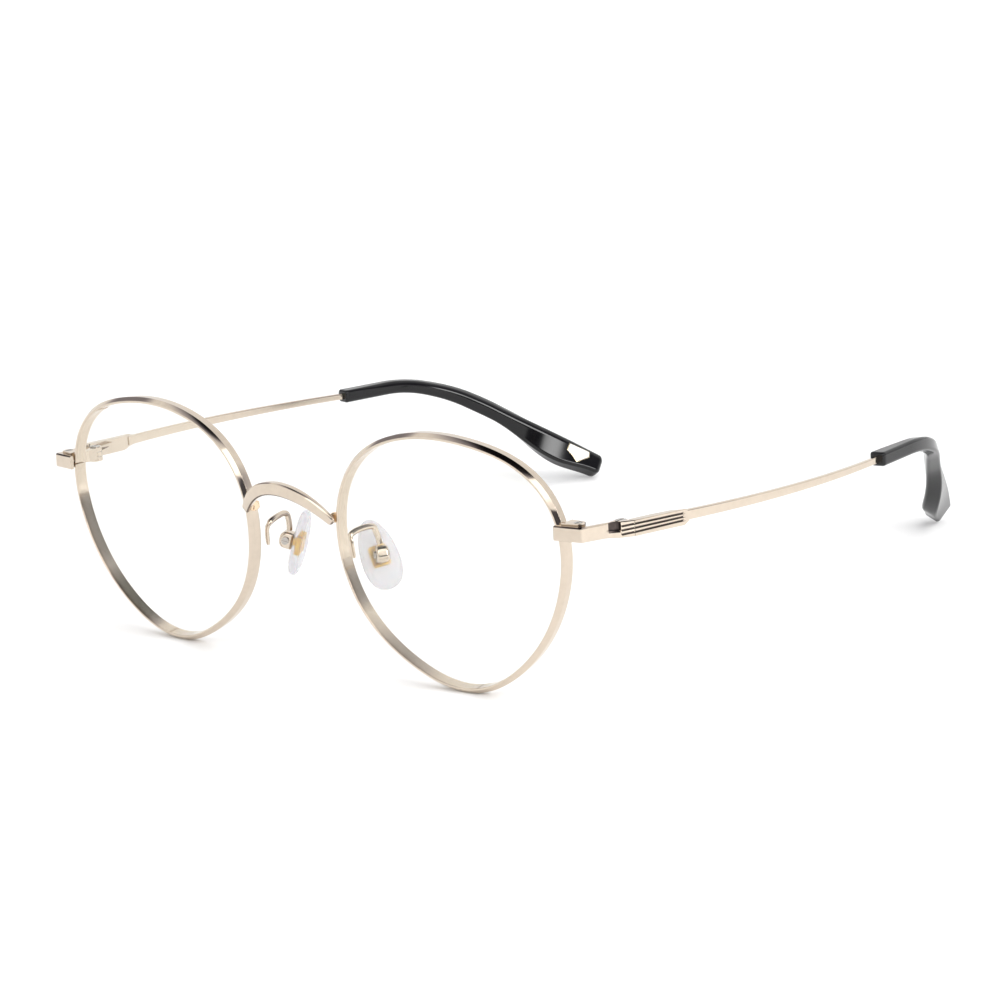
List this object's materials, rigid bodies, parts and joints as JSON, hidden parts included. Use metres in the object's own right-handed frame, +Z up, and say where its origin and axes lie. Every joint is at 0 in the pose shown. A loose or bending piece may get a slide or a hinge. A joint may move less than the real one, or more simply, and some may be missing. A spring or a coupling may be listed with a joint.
{
  "type": "eyeglasses frame",
  "caption": "Full-rim round metal eyeglasses frame with clear lenses, saddle bridge, nose pads on wire arms and folding temples with curved plastic tips.",
  "frame": {"origin": "middle of the bounding box, on the plane the rims and the temple tips stand on", "axes": "+X towards the viewer's right seen from in front (the side called right here), -Y towards the front of the lenses, +Z up"},
  "size_m": [0.1452, 0.1328, 0.0462],
  "materials": {
    "frame_metal": "polished light champagne-gold plating",
    "screw_steel": "bright",
    "inlay_metal": "polished gold",
    "lens": "clear, coated optical plastic",
    "pad_silicone": "translucent clear silicone",
    "tip_acetate": "glossy black"
  },
  "bodies": {
    "front": {"rim_right": "frame_metal", "rim_left": "frame_metal", "lens_right": "lens", "lens_left": "lens", "bridge": "frame_metal", "end_piece_right": "frame_metal", "end_piece_left": "frame_metal", "closing_block_upper_right": "frame_metal", "closing_block_upper_left": "frame_metal", "closing_block_lower_right": "frame_metal", "closing_block_lower_left": "frame_metal", "closing_screw_right": "screw_steel", "closing_screw_left": "screw_steel", "hinge_front_leaf_right": "frame_metal", "hinge_front_leaf_left": "frame_metal", "hinge_screw_right": "screw_steel", "hinge_screw_left": "screw_steel", "hinge_washers_right": "screw_steel", "hinge_washers_left": "screw_steel", "pad_arm_right": "frame_metal", "pad_arm_left": "frame_metal", "pad_box_right": "frame_metal", "pad_box_left": "frame_metal", "pad_screw_right": "screw_steel", "pad_screw_left": "screw_steel"},
    "temple_right": {"hinge_temple_leaf_right": "frame_metal", "temple_right": "frame_metal", "temple_tip_right": "tip_acetate", "tip_inlay_right": "inlay_metal"},
    "temple_left": {"hinge_temple_leaf_left": "frame_metal", "temple_left": "frame_metal", "temple_tip_left": "tip_acetate", "tip_inlay_left": "inlay_metal"},
    "pad_right": {"pad_insert_right": "inlay_metal", "nose_pad_right": "pad_silicone"},
    "pad_left": {"pad_insert_left": "inlay_metal", "nose_pad_left": "pad_silicone"}
  },
  "joints": [
    {"name": "temple_right_hinge", "type": "hinge", "parent": "front", "child": "temple_right", "pos_m": [0.067, -0.05005, 0.0299], "axis": [0, 0, 1], "range_deg": [0, 80]},
    {"name": "temple_left_hinge", "type": "hinge", "parent": "front", "child": "temple_left", "pos_m": [-0.067, -0.05005, 0.0299], "axis": [0, 0, -1], "range_deg": [0, 74]},
    {"name": "pad_right_rock", "type": "hinge", "parent": "front", "child": "pad_right", "pos_m": [0.0122, -0.05321, 0.02], "axis": [0.515, 0.8572, 0], "range_deg": [-8, 8]},
    {"name": "pad_left_rock", "type": "hinge", "parent": "front", "child": "pad_left", "pos_m": [-0.0122, -0.05321, 0.02], "axis": [0.515, -0.8572, 0], "range_deg": [-8, 8]}
  ]
}
